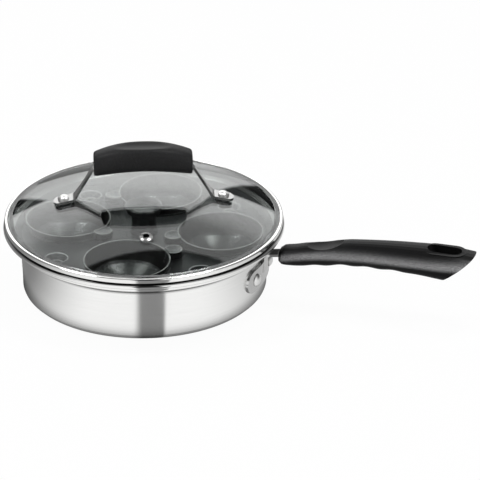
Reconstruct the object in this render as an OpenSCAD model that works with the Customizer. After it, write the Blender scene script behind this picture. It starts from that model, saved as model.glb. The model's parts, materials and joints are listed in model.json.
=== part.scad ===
// Four-cup egg poacher pan: a shallow steel pan with a long handle, a lift-out
// tray that carries four cups, and a domed glass lid with a bail handle.
// The pan's axis is Z, its base stands on Z = 0 and the long handle runs along +X.

/* [Pan] */
// Outside radius of the wall just above the base
pan_base_r = 92.3; // [84:0.1:104]
// How far the wall leans out between base and flare
pan_lean = 1.5; // [0.5:0.1:3]
// Height at which the wall turns out into the flare
pan_wall_h = 40.5; // [36:0.5:56]
// Thickness of the pan's sheet
pan_sheet = 1; // [0.8:0.1:1.5]
// Thickness of the pan's base
pan_base_t = 2.6; // [1.6:0.1:5]
// Outside radius of the corner between base and wall
pan_corner_r = 2.6; // [1.5:0.1:6]
// Radial width of the flare
flare_w = 8.6; // [7:0.1:10]
// Rise of the flare
flare_rise = 5; // [4:0.1:7]
// Height of the collar between the flare and the middle of the rolled rim
collar_h = 4.9; // [4.5:0.1:8]
// Radius of the rolled rim
rim_bead_r = 1.9; // [1.7:0.1:2.6]

/* [Tray] */
// Thickness of the tray's sheet
tray_sheet = 1; // [0.8:0.1:1.6]
// Radial width of the tray's raised lip
tray_lip_w = 5.2; // [3:0.1:5.4]
// Clearance between the tray and the pan
tray_clear = 0.3; // [0.25:0.05:0.5]
// How far the tray is turned round from the handle
tray_turn = 5.2; // [0:0.1:10]
// Depth of each vent funnel
funnel_depth = 4.4; // [3:0.1:6]
// Radius of a vent funnel at its mouth
funnel_mouth_r = 8.4; // [7:0.1:9]
// Radius of the hole at the bottom of a vent funnel
funnel_hole_r = 4.2; // [3:0.1:5]
// Distance of the vent funnels from the edge of the tray's flat disc
funnel_from_edge = 14.8; // [12:0.1:18]

/* [Cups] */
// Number of cups round the tray
cup_count = 4;
// Gap between the rims of neighbouring cups
cup_gap = 18; // [14:0.1:24]
// Gap between a cup's rim and the edge of the tray's flat disc
cup_edge_gap = 0.8; // [0.3:0.1:2]
// Height of a cup's rim above the tray
cup_stand = 6.4; // [5:0.1:7]
// Depth of a cup from its rim to its underside
cup_depth = 23.4; // [18:0.1:28]
// How much a cup's wall leans out for each millimetre of its height above the tray
cup_lean = 0.25; // [0.2:0.01:0.28]
// Thickness of a cup's wall
cup_wall = 1.4; // [1.1:0.1:2]
// Radius of a cup's flat bottom
cup_floor_r = 14; // [10:0.5:16]
// Clearance between a cup and its hole in the tray
cup_clear = 0.3; // [0.2:0.05:0.4]
// Radius of a cup's thumb tab
tab_r = 7; // [6:0.1:7.5]
// Height of a thumb tab
tab_h = 6; // [5:0.1:6.6]
// Depth of the dish in the top of a thumb tab
tab_dish = 1.2; // [0.6:0.1:2]

/* [Tray knob] */
// Radius of the knob's dished top
knob_top_r = 14.4; // [12:0.1:16]
// Radius of the knob's post
knob_post_r = 9.6; // [8:0.1:11]
// Height of the knob above the tray
knob_h = 22.6; // [18:0.1:23.5]
// Thickness of the knob's head
knob_head_h = 6.2; // [5:0.1:8]
// Depth of the dish in the knob's top
knob_dish = 5; // [3:0.1:5.4]
// Radius of the flat floor of the knob's dish
knob_floor_r = 7.4; // [6:0.1:9]

/* [Lid] */
// Thickness of the glass
glass_t = 3.2; // [3:0.1:4]
// Radius to which the glass dome is curved
dome_r = 272; // [250:2:400]
// Drop from the dome's edge to the flat edge of the glass
shoulder_drop = 0.9; // [0.8:0.05:1.2]
// Thickness of the band's sheet
band_sheet = 0.5; // [0.4:0.05:0.7]
// Radial width of the band
band_w = 2.6; // [2.4:0.1:3.4]
// Depth of the skirt that keeps the lid inside the pan's collar
skirt_h = 3.4; // [2.5:0.1:4]
// Clearance between the skirt and the collar
skirt_clear = 0.6; // [0.4:0.05:0.8]
// Gap between the band and the pan's rolled rim
lid_gap = 0.4; // [0.3:0.05:0.6]
// How far the lid is turned round from the long handle
lid_turn = 19.3; // [0:0.1:40]
// Distance of the steam vent from the lid's axis
vent_pitch_r = 61.5; // [40:0.1:70]
// Radius of the steam vent's hole
vent_hole_r = 2; // [1.5:0.1:2.5]
// Outside radius of the steam vent's flange
vent_flange_r = 5; // [4.4:0.1:6]

/* [Lid handle] */
// Distance of each bail screw from the lid's axis
bail_pitch_r = 59.6; // [56:0.1:64]
// Width of the bail strip at its pads
bail_w = 12; // [10:0.1:13]
// Width of the bail strip along its legs
bail_leg_w = 5; // [4:0.1:7]
// Thickness of the bail strip
bail_t = 2; // [1.6:0.1:2.4]
// Height of the bail above the glass dome
bail_h = 28.2; // [26:0.1:36]
// Half the span of the bail between its upper bends
bail_top_half = 38; // [34:0.5:42]
// Length of the lid's grip
grip_len = 74.2; // [66:0.1:76]
// Depth of the lid's grip from front to back at its middle
grip_deep = 24; // [22:0.1:26]
// Height of the lid's grip at its middle
grip_high = 20.8; // [19:0.1:22]
// Depth of the lid's grip at its ends
grip_end_deep = 18; // [16.5:0.1:20]
// Height of the lid's grip at its ends
grip_end_high = 17.4; // [16:0.1:18.5]
// Drop of the grip's ends below its middle
grip_arch = 5.5; // [4:0.1:6.5]
// Depth of the dish in the grip's top
grip_dish = 2.4; // [1:0.1:3]
// Radius of the dish across the grip
grip_dish_r = 24; // [18:1:40]
// Radius of the shank of a bail screw
screw_r = 2.4; // [2:0.1:2.6]
// Radius of the domed head of a bail screw
screw_head_r = 4.3; // [4:0.1:4.8]
// Thickness of each soft washer on the glass
washer_t = 0.9; // [0.6:0.1:1.2]

/* [Bracket] */
// Thickness of the bracket's plate and neck
bracket_t = 2; // [1.6:0.1:2.4]
// Width of the plate round the wall
plate_w = 60; // [56:0.5:66]
// Height of the plate
plate_h = 18; // [16:0.5:20]
// Height of the rivets above the base
rivet_z = 24; // [20:0.5:24.5]
// Distance between the rivets, along the wall
rivet_span = 34; // [30:0.5:38]
// Radius of a rivet's shank
rivet_r = 2.5; // [2:0.1:3]
// Radius of a rivet's domed head
rivet_head_r = 5; // [4.5:0.1:5.5]
// Height of a rivet's domed head
rivet_dome = 2.8; // [2:0.1:3]
// Width of the neck
neck_w = 10; // [8:0.1:12]
// Height of the middle of the neck where it leaves the pan
neck_z = 38; // [37.5:0.1:39]
// Upward slope of the neck and tang
neck_slope = 9; // [7:0.5:10]

/* [Long handle] */
// Gap between the pan's rim and the handle
handle_gap = 1; // [0.5:0.1:3]
// Length of the handle
handle_len = 149; // [132:1:170]
// Width of the handle at its front
handle_front_w = 19; // [17:0.1:22]
// Width of the handle at its waist
handle_waist_w = 22; // [20:0.1:25]
// Width of the handle at its end
handle_end_w = 30; // [26:0.1:33]
// Height of the handle at its front
handle_front_t = 12.9; // [12:0.1:15]
// Height of the handle at its waist
handle_waist_t = 18; // [16:0.1:20]
// Height of the handle at its end
handle_end_t = 22.3; // [20:0.1:24]
// Rise of the waist above the front
waist_rise = 8.4; // [7:0.1:9]
// Rise of the end above the front
end_rise = 9.8; // [8:0.1:12]
// Depth of the finger scallops
scallop = 1; // [0:0.1:1.2]
// Distance of the thumb scoop's middle from the handle's front
scoop_from_front = 35; // [30:0.5:40]
// Depth of the thumb scoop
scoop_depth = 3; // [1:0.1:3.2]
// Radius of the thumb scoop
scoop_r = 36; // [30:1:60]
// Slope of the cut end from upright
end_rake = 50; // [38:1:52]
// Length of the hanging slot
slot_len = 26; // [20:0.5:28]
// Width of the hanging slot
slot_w = 12; // [9:0.1:13]
// Distance from the handle's end to the slot's middle
slot_from_end = 24; // [22:0.5:27]
// Length of the tang inside the handle
tang_len = 34; // [28:0.5:38]

/* [Hidden] */
$fn = 96;
eps = 0.01;

steel = "silver";
dark_steel = "dimgray";
black = [0.11, 0.11, 0.12];
coated = [0.16, 0.16, 0.17];
glass = [0.75, 0.85, 0.85, 0.45];

// The pan's outline, from which the tray and the lid take their places
pan_wall_r = pan_base_r + pan_lean;
collar_r = pan_wall_r + flare_w;
flare_top_z = pan_wall_h + flare_rise;
flare_slope = atan2(flare_rise, flare_w);
bead_slit = 0.6;
bead_r_mid = collar_r + rim_bead_r - 0.1;
bead_z = flare_top_z + collar_h;
rim_r = bead_r_mid + rim_bead_r;
rim_top_z = bead_z + rim_bead_r;
flare_blend = 2;

// The tray lies just above the flare
tray_flat_r = pan_wall_r - 2;
tray_top_z = pan_wall_h - (pan_wall_r - tray_flat_r) * tan(flare_slope)
    + (pan_sheet + tray_clear + tray_sheet) / cos(flare_slope);
cup_spread = 2 * sin(180 / cup_count);
cup_rim_r = ((tray_flat_r - cup_edge_gap) * cup_spread - cup_gap) / (2 + cup_spread);
cup_pitch_r = tray_flat_r - cup_edge_gap - cup_rim_r;
funnel_pitch_r = tray_flat_r - funnel_from_edge;
throat_r = cup_rim_r - cup_stand * cup_lean;
hole_r = throat_r + cup_clear;
seat_root = 0.9;
seat_ring_w = 1.1;
seat_ring_h = 1.2;
cup_rim_z = tray_top_z + cup_stand;
cup_floor_z = cup_rim_z - cup_depth;
knob_top_z = tray_top_z + knob_h;
tray_screw_r = 2;
tray_screw_head_r = 4.4;
tray_screw_head_h = 1.8;
tray_washer_r = 6.5;
tray_washer_t = 0.8;
knob_bore = 11;

// The tab's bearing round each cup's own axis, from the tray's zero line
tab_reach = cup_rim_r + 4;
tab_lift = 1.4;
tab_ball = (pow(tab_r - 1, 2) + tab_dish * tab_dish) / (2 * tab_dish);

// The lid's levels
band_z = rim_top_z + lid_gap;
band_r = rim_r - 1;
glass_edge_z = band_z + band_sheet + glass_t;
glass_r = band_r - band_sheet;
shoulder_run = 2;
shoulder_foot_r = band_r - band_w - 0.5;
dome_edge_r = shoulder_foot_r - shoulder_run;
crown_z = glass_edge_z + shoulder_drop + dome_r - sqrt(dome_r * dome_r - dome_edge_r * dome_edge_r);
band_bend = 1.2;
function dome_z(r) = crown_z - (dome_r - sqrt(dome_r * dome_r - r * r));
function dome_tilt(r) = asin(r / dome_r);

// Fasteners on the lid
washer_r = bail_w / 2;
screw_dome = 1.8;
screw_edge = 1.2;
nut_edge = 2;
nut_dome = 1.4;
nut_r = 4.2;
nut_bore = 2.4;
under_r = 5.6;
fit_gap = 0.15;
seat_gap = 0.1;
under_z = -glass_t - seat_gap;
screw_len = bail_t + 2 * washer_t + glass_t + seat_gap + nut_bore;

// The steam vent's eyelet
vent_tube_r = vent_hole_r + 1.2;
vent_lip = 0.7;
vent_edge = 0.4;
vent_dome = 1.1;
vent_mouth = 0.7;

// The bail's centre line, from the pad's tip to the middle of the grip
bail_z = crown_z + bail_h;
pad_out = bail_w / 2 + 2;
pad_in = 8.5;
pad_round = bail_w * 0.54;
bail_bend_r = 4;
bail_end_drop = grip_arch + 2.9;
bail_mid_drop = 0.4;
grip_z = bail_z + 1.6;

// The bracket and the long handle
wall_slope = atan2(pan_lean, pan_wall_h - pan_corner_r);
function wall_r(z) = pan_base_r + pan_lean * (z - pan_corner_r) / (pan_wall_h - pan_corner_r);
rivet_turn = rivet_span / 2 / wall_r(rivet_z) * 180 / PI;
rivet_edge = 0.5;
rivet_tail_r = rivet_head_r - 0.6;
rivet_tail_h = 1.2;
rivet_sag = rivet_tail_r * rivet_tail_r / pan_base_r;
neck_foot_r = wall_r(neck_z) + bracket_t / 2 + 0.1;
handle_x0 = rim_r + handle_gap;
handle_front_z = neck_z + (handle_x0 - neck_foot_r) * tan(neck_slope);
tang_end_x = handle_x0 + tang_len;
tang_fit = 0.1;
function tang_z(x) = neck_z + (x - neck_foot_r) * tan(neck_slope) + bracket_t / 2;
tang_screw_x = handle_x0 + tang_len - 8;
tang_screw_r = 2;
tang_head_r = 3.6;
tang_head_h = 1.7;
tang_head_z = tang_z(tang_screw_x) - 7.2;
tang_nut_r = 3.6;
tang_nut_h = 2.4;
nut_seat_z = tang_z(tang_screw_x + tang_nut_r) + tang_fit;
slot_x = handle_x0 + handle_len - slot_from_end;
slot_rim_w = 3.2;
slot_sink = 0.8;

// Geometry helpers: points on an arc, a polyline with rounded corners and a sheet along a path
function arc(c, r, a0, a1, n = 8) =
    [for (i = [0:n]) let (a = a0 + (a1 - a0) * i / n) c + r * [cos(a), sin(a)]];
function unit(v) = v / norm(v);
function corner(a, b, c, r, n) =
    let (u = unit(a - b), w = unit(c - b), half = acos(u * w) / 2,
         mid = b + unit(u + w) * r / sin(half), s0 = b + u * r / tan(half) - mid,
         a0 = atan2(s0[1], s0[0]), turn = (180 - 2 * half) * sign(u[0] * w[1] - u[1] * w[0]))
    arc(mid, r, a0, a0 - turn, n);
function rounded(p, r, n = 6) =
    concat([p[0]],
           [for (i = [1:len(p) - 2]) each corner(p[i - 1], p[i], p[i + 1], r, n)],
           [p[len(p) - 1]]);
function mitre(p, i) =
    let (a = unit(i > 0 ? p[i] - p[i - 1] : p[1] - p[0]),
         b = unit(i < len(p) - 1 ? p[i + 1] - p[i] : p[i] - p[i - 1]),
         n = unit([-a[1] - b[1], a[0] + b[0]]))
    n / (n * [-a[1], a[0]]);
function sheet(p, t) = concat(p, [for (i = [len(p) - 1:-1:0]) p[i] + t * mitre(p, i)]);

module ring_of(n, r) {
    for (i = [0:n - 1])
        rotate([0, 0, 360 * i / n]) translate([r, 0, 0]) children();
}

// A place on the dome at radius r and bearing b, with its Z along the glass's outward normal
module on_dome(r, b) {
    rotate([0, 0, b]) translate([r, 0, dome_z(r)]) rotate([0, dome_tilt(r), 0]) children();
}

module at_both_bail_ends() {
    for (b = [0, 180]) on_dome(bail_pitch_r, lid_turn + b) children();
}

// A place on the wall at each rivet, with its Z pointing out of the pan
module at_rivets() {
    for (s = [-1, 1])
        rotate([0, 0, s * rivet_turn]) translate([wall_r(rivet_z), 0, rivet_z])
            rotate([0, 90 + wall_slope, 0]) children();
}

// A head whose domed top springs from a straight edge
module domed_head(r, edge, dome) {
    ball = (r * r + dome * dome) / (2 * dome);
    intersection() {
        translate([0, 0, edge + dome - ball]) sphere(r = ball);
        cylinder(r = r, h = edge + dome + 1, $fn = 48);
    }
}

module rivet_holes() {
    at_rivets() cylinder(r = rivet_r, h = 20, center = true, $fn = 32);
}

module pan_body() {
    outside = rounded([[0, 0], [pan_base_r - pan_corner_r, 0], [pan_base_r, pan_corner_r],
                       [pan_wall_r, pan_wall_h], [collar_r, flare_top_z],
                       [collar_r, bead_z + 1]], flare_blend, 6);
    color(steel) difference() {
        rotate_extrude() {
            polygon(sheet(outside, pan_sheet));
            square([pan_base_r - pan_corner_r - 1, pan_base_t]);
            difference() {
                translate([bead_r_mid, bead_z]) circle(r = rim_bead_r, $fn = 48);
                translate([bead_r_mid, bead_z]) circle(r = rim_bead_r - pan_sheet, $fn = 48);
                translate([bead_r_mid - rim_bead_r, bead_z - rim_bead_r - 1])
                    square([rim_bead_r - bead_slit, rim_bead_r + 1]);
            }
            translate([collar_r - pan_sheet, bead_z]) square([pan_sheet, rim_bead_r - pan_sheet + 0.1]);
        }
        rivet_holes();
    }
}

// The plate hugs the wall; its neck turns out under the flare and runs into the handle as a tang
module handle_bracket() {
    outer_r = pan_wall_r + bracket_t + 3;
    lobe = plate_h / 2;
    foot = [neck_foot_r, rivet_z];
    bend = [neck_foot_r, neck_z];
    tip = [tang_end_x, neck_z + (tang_end_x - neck_foot_r) * tan(neck_slope)];
    color(dark_steel) difference() {
        union() {
            intersection() {
                rotate_extrude() polygon([[wall_r(0) + 0.05, 0], [wall_r(pan_wall_h) + 0.05, pan_wall_h],
                                          [wall_r(pan_wall_h) + bracket_t, pan_wall_h],
                                          [wall_r(0) + bracket_t, 0]]);
                translate([0, 0, rivet_z]) rotate([90, 0, 90]) linear_extrude(outer_r) {
                    square([plate_w - 2 * lobe, plate_h], center = true);
                    for (s = [-1, 1]) translate([s * (plate_w / 2 - lobe), 0]) circle(r = lobe);
                }
            }
            rotate([90, 0, 0]) translate([0, 0, -neck_w / 2]) linear_extrude(neck_w)
                polygon(sheet(rounded([foot - [bracket_t / 2, 0], bend - [bracket_t / 2, -bracket_t / 2],
                                       tip + [0, bracket_t / 2]], 3, 8), -bracket_t));
        }
        rivet_holes();
        translate([tang_screw_x, 0, 0]) cylinder(r = tang_screw_r + tang_fit, h = 100, $fn = 32);
        rotate_extrude() square([pan_base_r, rivet_z * 2]);
    }
}

module pan_rivets() {
    color(steel) at_rivets() {
        translate([0, 0, -pan_sheet - 1])
            cylinder(r = rivet_r - 0.02, h = pan_sheet + bracket_t + 2, $fn = 32);
        translate([0, 0, bracket_t]) domed_head(rivet_head_r, rivet_edge, rivet_dome - rivet_edge);
        translate([0, 0, -pan_sheet - rivet_sag - rivet_tail_h])
            cylinder(r = rivet_tail_r, h = rivet_tail_h, $fn = 48);
    }
}

// The long handle is a loft of rounded sections, wide below its middle and crowned above
stations = [[0, handle_front_w, handle_front_t, -0.5],
            [0.12, handle_front_w + 0.6, handle_front_t + 2.7, waist_rise * 0.24],
            [0.36, handle_waist_w, handle_waist_t, waist_rise],
            [0.7, handle_end_w - 3, handle_end_t - 1.6, end_rise + 1],
            [0.88, handle_end_w, handle_end_t, end_rise],
            [1, handle_end_w - 1, handle_end_t - 0.8, end_rise - 1.1]];
function cubic(a, b, c, d, t) =
    b + 0.5 * t * (c - a + t * (2 * a - 5 * b + 4 * c - d + t * (3 * (b - c) + d - a)));
function span_of(s, i = 0) = i >= len(stations) - 2 || s <= stations[i + 1][0] ? i : span_of(s, i + 1);
function station(s) =
    let (i = span_of(s), last = len(stations) - 1, p = stations[i], q = stations[i + 1],
         t = (s - p[0]) / (q[0] - p[0]))
    cubic(stations[max(i - 1, 0)], p, q, stations[min(i + 2, last)], t);
function handle_top(s) = let (v = station(s)) handle_front_z + v[3] + v[2] / 2;
nose_len = 5;
function nose(x) = x >= nose_len ? 1 : 0.72 + 0.28 * sqrt(1 - pow(1 - x / nose_len, 2));
scallop_count = 4;
scallop_from = 0.118;
scallop_to = 0.66;
function scallops(s) = s < scallop_from || s > scallop_to ? 0
    : scallop * pow(sin(180 * scallop_count * (s - scallop_from) / (scallop_to - scallop_from)), 2);
section_n = 28;
crease = 0.5;
function handle_section(s) =
    let (v = station(s), k = nose(s * handle_len), w = v[1] / 2 * k, t = v[2] * k,
         mid = handle_front_z + v[3] - v[2] / 2 + v[2] * crease)
    [for (j = [0:section_n - 1])
        let (a = 360 * j / section_n, c = cos(a), d = sin(a),
             up = t * (1 - crease), down = t * crease - scallops(s),
             e = d > 0 ? 0.9 : 0.62)
        [handle_x0 + s * handle_len,
         w * sign(c) * pow(abs(c), d > 0 ? 0.86 : 0.74),
         mid + (d > 0 ? up : down) * sign(d) * pow(abs(d), e)]];
ring_count = 56;
module handle_loft() {
    rings = [for (i = [0:ring_count]) handle_section(i / ring_count)];
    n = section_n;
    points = [for (r = rings) each r];
    sides = [for (i = [0:ring_count - 1]) for (j = [0:n - 1])
        let (a = i * n + j, b = i * n + (j + 1) % n) [[a, a + n, b], [b, a + n, b + n]]];
    faces = concat([for (f = sides) each f], [[for (j = [0:n - 1]) j]],
                   [[for (j = [n - 1:-1:0]) ring_count * n + j]]);
    polyhedron(points, faces, convexity = 4);
}

module slot_outline(l, w) {
    square([l - w, w], center = true);
    for (s = [-1, 1]) translate([s * (l - w) / 2, 0]) circle(d = w);
}

module thumb_scoop() {
    s = scoop_from_front / handle_len;
    slope = atan2(handle_top(s + 0.03) - handle_top(s - 0.03), 0.06 * handle_len);
    translate([handle_x0 + scoop_from_front, 0, handle_top(s)]) rotate([0, -slope, 0])
        translate([0, 0, scoop_r - scoop_depth]) sphere(r = scoop_r);
}

module long_handle() {
    end_x = handle_x0 + handle_len;
    cut = 3 * handle_end_w;
    slot_z = handle_front_z + end_rise;
    pad_z = slot_z + handle_end_t / 2 - slot_sink;
    color(black) difference() {
        union() {
            handle_loft();
            translate([slot_x, 0, slot_z]) linear_extrude(pad_z - slot_z)
                slot_outline(slot_len + 2 * slot_rim_w, slot_w + 2 * slot_rim_w);
        }
        translate([slot_x, 0, slot_z - 30]) linear_extrude(60) slot_outline(slot_len, slot_w);
        translate([end_x + 1, 0, slot_z + handle_end_t / 2]) rotate([0, end_rake, 0])
            translate([0, -cut / 2, -cut]) cube([cut, cut, 1.5 * cut]);
        thumb_scoop();
        tang_socket();
        translate([tang_screw_x, 0, 0]) {
            cylinder(r = tang_screw_r, h = nut_seat_z + tang_nut_h, $fn = 32);
            cylinder(r = tang_head_r + 0.4, h = tang_head_z + tang_head_h, $fn = 48);
            translate([0, 0, nut_seat_z]) cylinder(r = tang_nut_r, h = tang_nut_h + 0.3, $fn = 6);
        }
    }
}

module tang_socket() {
    x0 = handle_x0 - 5;
    x1 = tang_end_x + 0.5;
    under = bracket_t / cos(neck_slope) + tang_fit;
    rotate([90, 0, 0]) translate([0, 0, -neck_w / 2 - tang_fit]) linear_extrude(neck_w + 2 * tang_fit)
        polygon([[x0, tang_z(x0) - under], [x1, tang_z(x1) - under],
                 [x1, tang_z(x1) + tang_fit], [x0, tang_z(x0) + tang_fit]]);
}

module tang_screw() {
    color(steel) translate([tang_screw_x, 0, tang_head_z]) {
        cylinder(r = tang_head_r, h = tang_head_h, $fn = 48);
        cylinder(r = tang_screw_r, h = nut_seat_z + tang_nut_h - tang_head_z, $fn = 32);
    }
}

module tang_nut() {
    color(steel) translate([tang_screw_x, 0, nut_seat_z]) difference() {
        cylinder(r = tang_nut_r, h = tang_nut_h, $fn = 6);
        translate([0, 0, -1]) cylinder(r = tang_screw_r, h = tang_nut_h + 2, $fn = 32);
    }
}

// The glass: a shallow dome that drops through a shoulder to a flat edge
module lid_glass() {
    turn_r = dome_edge_r - 4;
    half_way = [dome_edge_r + shoulder_run / 2, (dome_z(dome_edge_r) + glass_edge_z) / 2];
    top = concat([for (i = [0:12]) let (r = turn_r * i / 12) [r, dome_z(r)]],
                 rounded([[turn_r, dome_z(turn_r)], [dome_edge_r, dome_z(dome_edge_r)], half_way],
                         10, 5),
                 rounded([half_way, [shoulder_foot_r, glass_edge_z], [glass_r, glass_edge_z]], 1.5, 5));
    clean = [for (i = [0:len(top) - 1]) if (i == 0 || norm(top[i] - top[i - 1]) > 0.05) top[i]];
    color(glass) difference() {
        rotate_extrude() polygon([for (p = sheet(clean, -glass_t)) [max(0, p[0]), p[1]]]);
        at_both_bail_ends() cylinder(r = screw_r + fit_gap, h = 8 * glass_t, center = true, $fn = 32);
        on_dome(vent_pitch_r, lid_turn - 90)
            cylinder(r = vent_tube_r + fit_gap, h = 8 * glass_t, center = true, $fn = 32);
    }
}

// The band: a U round the glass edge whose lower lip turns down into a skirt
module lid_band() {
    skirt_out_r = collar_r - pan_sheet - skirt_clear;
    skirt_in_r = skirt_out_r - band_sheet;
    lip_z = glass_edge_z + band_sheet;
    band_in_r = band_r - band_w;
    outside = rounded([[band_in_r, lip_z], [band_r, lip_z], [band_r, band_z], [skirt_out_r, band_z]],
                      band_bend, 6);
    skirt = [[skirt_out_r, band_z - skirt_h], [skirt_in_r, band_z - skirt_h],
             [skirt_in_r, band_z + band_sheet]];
    seat = [[glass_r, band_z + band_sheet], [glass_r, glass_edge_z], [band_in_r, glass_edge_z]];
    color(steel) rotate_extrude() polygon(concat(outside, skirt, seat));
}

module steam_vent() {
    color(steel) on_dome(vent_pitch_r, lid_turn - 90) difference() {
        union() {
            translate([0, 0, under_z - vent_lip]) {
                cylinder(r = vent_tube_r, h = glass_t + seat_gap + 2 * vent_lip, $fn = 48);
                cylinder(r = vent_flange_r - 1, h = vent_lip, $fn = 48);
            }
            domed_head(vent_flange_r, vent_edge, vent_dome);
        }
        cylinder(r = vent_hole_r, h = 20, center = true, $fn = 48);
        translate([0, 0, vent_edge + vent_dome - vent_mouth])
            cylinder(r1 = vent_hole_r, r2 = vent_hole_r + vent_mouth, h = vent_mouth, $fn = 48);
    }
}

// The bail: one strip, padded flat on the glass at both ends and passing through the grip
function bail_place(along) =
    let (b = dome_tilt(bail_pitch_r), up = washer_t + bail_t / 2)
    [bail_pitch_r + along * cos(b) + up * sin(b),
     dome_z(bail_pitch_r) - along * sin(b) + up * cos(b)];
function flip(p) = [for (i = [len(p) - 1:-1:0]) [-p[i][0], p[i][1]]];
function bail_path() =
    let (tip = bail_place(pad_out), knee = bail_place(-pad_in),
         top = [bail_top_half, bail_z - bail_end_drop], crown = [grip_len / 5, bail_z - bail_mid_drop])
    concat([tip, knee, top, crown], flip([tip, knee, top, crown]));

// Seen from above, the strip narrows from its pads to its legs
function bail_outline() =
    let (pad = bail_pitch_r - pad_in + 1.5, leg = pad - 6, w = bail_w / 2, g = bail_leg_w / 2)
    [[-rim_r, w], [-pad, w], [-leg, g], [leg, g], [pad, w], [rim_r, w],
     [rim_r, -w], [pad, -w], [leg, -g], [-leg, -g], [-pad, -w], [-rim_r, -w]];

module bail_blank(t) {
    path = rounded(bail_path(), bail_bend_r, 6);
    half = [for (i = [0:len(path) - 1]) path[i] + t / 2 * mitre(path, i)];
    rotate([0, 0, lid_turn]) intersection() {
        rotate([90, 0, 0]) translate([0, 0, -bail_w / 2])
            linear_extrude(bail_w) polygon(sheet(half, -t));
        linear_extrude(bail_z + 10) polygon(bail_outline());
    }
}

module lid_bail() {
    color(steel) difference() {
        bail_blank(bail_t);
        at_both_bail_ends() {
            cylinder(r = screw_r + fit_gap, h = 12, center = true, $fn = 32);
            translate([0, 0, -6]) difference() {
                translate([pad_out - pad_round, -bail_w, 0]) cube([bail_w, 2 * bail_w, 16]);
                translate([pad_out - pad_round, 0, -1]) cylinder(r = pad_round, h = 18);
            }
        }
    }
}

// The lid's grip: an arched bar, thicker at its middle, with flat cut ends
grip_rings = 24;
grip_section_n = 24;
grip_soft = 0.72;
function grip_section(u) =
    let (f = 1 - pow(abs(u), 2.4), d = grip_end_deep + (grip_deep - grip_end_deep) * f,
         h = grip_end_high + (grip_high - grip_end_high) * f,
         z = grip_z - grip_arch * u * u)
    [for (j = [0:grip_section_n - 1])
        let (a = 360 * j / grip_section_n, c = cos(a), s = sin(a))
        [u * grip_len / 2, d / 2 * sign(c) * pow(abs(c), grip_soft),
         z + h / 2 * sign(s) * pow(abs(s), grip_soft)]];

module grip_loft() {
    rings = [for (i = [0:grip_rings]) grip_section(2 * i / grip_rings - 1)];
    n = grip_section_n;
    sides = [for (i = [0:grip_rings - 1]) for (j = [0:n - 1])
        let (a = i * n + j, b = i * n + (j + 1) % n) [[a, a + n, b], [b, a + n, b + n]]];
    polyhedron([for (r = rings) each r],
               concat([for (f = sides) each f], [[for (j = [0:n - 1]) j]],
                      [[for (j = [n - 1:-1:0]) grip_rings * n + j]]), convexity = 4);
}

module lid_grip() {
    color(black) difference() {
        rotate([0, 0, lid_turn]) grip_loft();
        rotate([0, 0, lid_turn]) translate([0, 0, grip_z + grip_high / 2 - grip_dish + grip_dish_r])
            rotate([0, 90, 0]) cylinder(r = grip_dish_r, h = 2 * grip_len, center = true);
        bail_blank(bail_t);
    }
}

module bail_screws() {
    head_z = washer_t + bail_t;
    color(steel) at_both_bail_ends() {
        translate([0, 0, head_z]) domed_head(screw_head_r, screw_edge, screw_dome);
        translate([0, 0, head_z - screw_len]) cylinder(r = screw_r, h = screw_len, $fn = 32);
    }
}

module soft_washer(r) {
    difference() {
        cylinder(r = r, h = washer_t, $fn = 48);
        translate([0, 0, -1]) cylinder(r = screw_r, h = washer_t + 2, $fn = 32);
    }
}

module bail_outer_washers() {
    color(black) at_both_bail_ends() soft_washer(washer_r);
}

module bail_inner_washers() {
    color(black) at_both_bail_ends() translate([0, 0, under_z - washer_t]) soft_washer(under_r);
}

module bail_nuts() {
    color(steel) at_both_bail_ends() translate([0, 0, under_z - washer_t]) difference() {
        rotate([180, 0, 0]) domed_head(nut_r, nut_edge, nut_dome);
        translate([0, 0, -nut_bore]) cylinder(r = screw_r, h = nut_bore + 1, $fn = 32);
    }
}

// The tray: a flat disc with a lip that follows the flare, cup holes and four vent funnels
module poacher_tray() {
    funnel_wall = 1;
    lip = [tray_flat_r + tray_lip_w, tray_top_z + tray_lip_w * tan(flare_slope)];
    color(coated) rotate([0, 0, tray_turn]) difference() {
        union() {
            rotate_extrude() polygon(sheet(rounded([[0, tray_top_z], [tray_flat_r, tray_top_z], lip], 2, 5),
                                           -tray_sheet));
            rotate([0, 0, 180 / cup_count]) ring_of(cup_count, funnel_pitch_r)
                translate([0, 0, tray_top_z - funnel_depth - funnel_wall])
                    cylinder(r1 = funnel_hole_r + funnel_wall, r2 = funnel_mouth_r + funnel_wall,
                             h = funnel_depth + funnel_wall - eps, $fn = 48);
        }
        ring_of(cup_count, cup_pitch_r) cylinder(r = hole_r, h = 100);
        rotate([0, 0, 180 / cup_count]) ring_of(cup_count, funnel_pitch_r) {
            translate([0, 0, tray_top_z - funnel_depth])
                cylinder(r1 = funnel_hole_r, r2 = funnel_mouth_r, h = funnel_depth + eps, $fn = 48);
            cylinder(r = funnel_hole_r, h = 100, $fn = 48);
        }
        cylinder(r = tray_screw_r + fit_gap, h = 100, $fn = 32);
    }
}

module tray_knob() {
    waist_z = knob_h - knob_head_h;
    floor_z = knob_h - knob_dish;
    outline = rounded([[0, 0], [knob_post_r + 1, 0], [knob_post_r, 2.5], [knob_post_r - 0.4, waist_z - 2],
                       [knob_top_r - 1.4, waist_z + 1], [knob_top_r, knob_h - 1.2],
                       [knob_top_r - 0.8, knob_h], [knob_top_r - 1.9, knob_h - 0.7],
                       [knob_floor_r, floor_z], [0, floor_z]], 0.6, 4);
    color(black) translate([0, 0, tray_top_z]) difference() {
        rotate_extrude() polygon(outline);
        translate([0, 0, -1]) cylinder(r = tray_screw_r, h = knob_bore + 1, $fn = 32);
    }
}

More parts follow.
